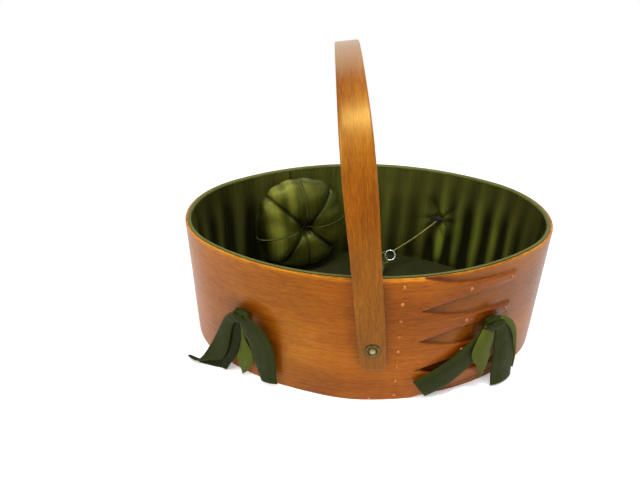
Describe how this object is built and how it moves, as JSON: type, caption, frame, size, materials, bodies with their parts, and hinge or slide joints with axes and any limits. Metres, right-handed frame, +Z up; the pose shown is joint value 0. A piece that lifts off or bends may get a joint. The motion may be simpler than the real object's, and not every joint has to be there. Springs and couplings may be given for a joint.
{
  "type": "sewing basket",
  "caption": "Oval bent-wood sewing carrier with a swinging bail handle, a satin lining, a pincushion and tied-in sewing fittings.",
  "frame": {"origin": "centre of the oval's underside, on the table", "axes": "+X along the oval's long axis, +Z up, and -Y towards the side with the lap and its fingers"},
  "size_m": [0.28, 0.2144, 0.2239],
  "materials": {
    "band_wood": "satin varnish over bent wood with fine grain",
    "handle_wood": "satin varnish with lengthwise grain",
    "board_wood": "bare planed wood",
    "copper": "aged copper",
    "brass": "aged brass",
    "satin": "olive green satin",
    "satin_floor": "olive green satin, worn",
    "piping": "rolled satin edge",
    "ribbon": "matt olive grosgrain ribbon",
    "cushion_satin": "olive green satin stuffed tight",
    "thread": "twisted olive thread",
    "cap_felt": "green felt",
    "emery_cloth": "red silk, filled with emery",
    "card": "pasteboard",
    "book_cloth": "olive satin over card",
    "felt_leaves": "cream wool flannel",
    "wax": "beeswax",
    "wire": "bright steel wire"
  },
  "bodies": {
    "box": {"band": "band_wood", "bottom_board": "board_wood", "lap_tacks": "copper", "finger_tacks": "copper", "bottom_points": "board_wood", "front_rivet": "brass", "back_rivet": "brass", "front_washer": "brass", "back_washer": "brass", "front_burr": "copper", "back_burr": "copper", "lining_card": "card", "side_lining": "satin", "rim_piping": "piping", "floor_card": "card", "floor_pad": "satin_floor", "pincushion": "cushion_satin", "pincushion_threads": "thread", "front_left_ribbon": "ribbon", "front_right_ribbon": "ribbon", "back_left_ribbon": "ribbon", "back_right_ribbon": "ribbon", "tether_knot": "thread", "tether_cord": "thread", "tether_ring": "wire", "emery_cap": "cap_felt", "emery": "emery_cloth", "needle_book_cover": "book_cloth", "needle_book_leaves": "felt_leaves", "beeswax": "wax"},
    "handle": {"handle": "handle_wood"}
  },
  "joints": [
    {"name": "handle_swing", "type": "hinge", "parent": "box", "child": "handle", "pos_m": [0, 0, 0.049], "axis": [0, 1, 0], "range_deg": [-96, 108]}
  ]
}
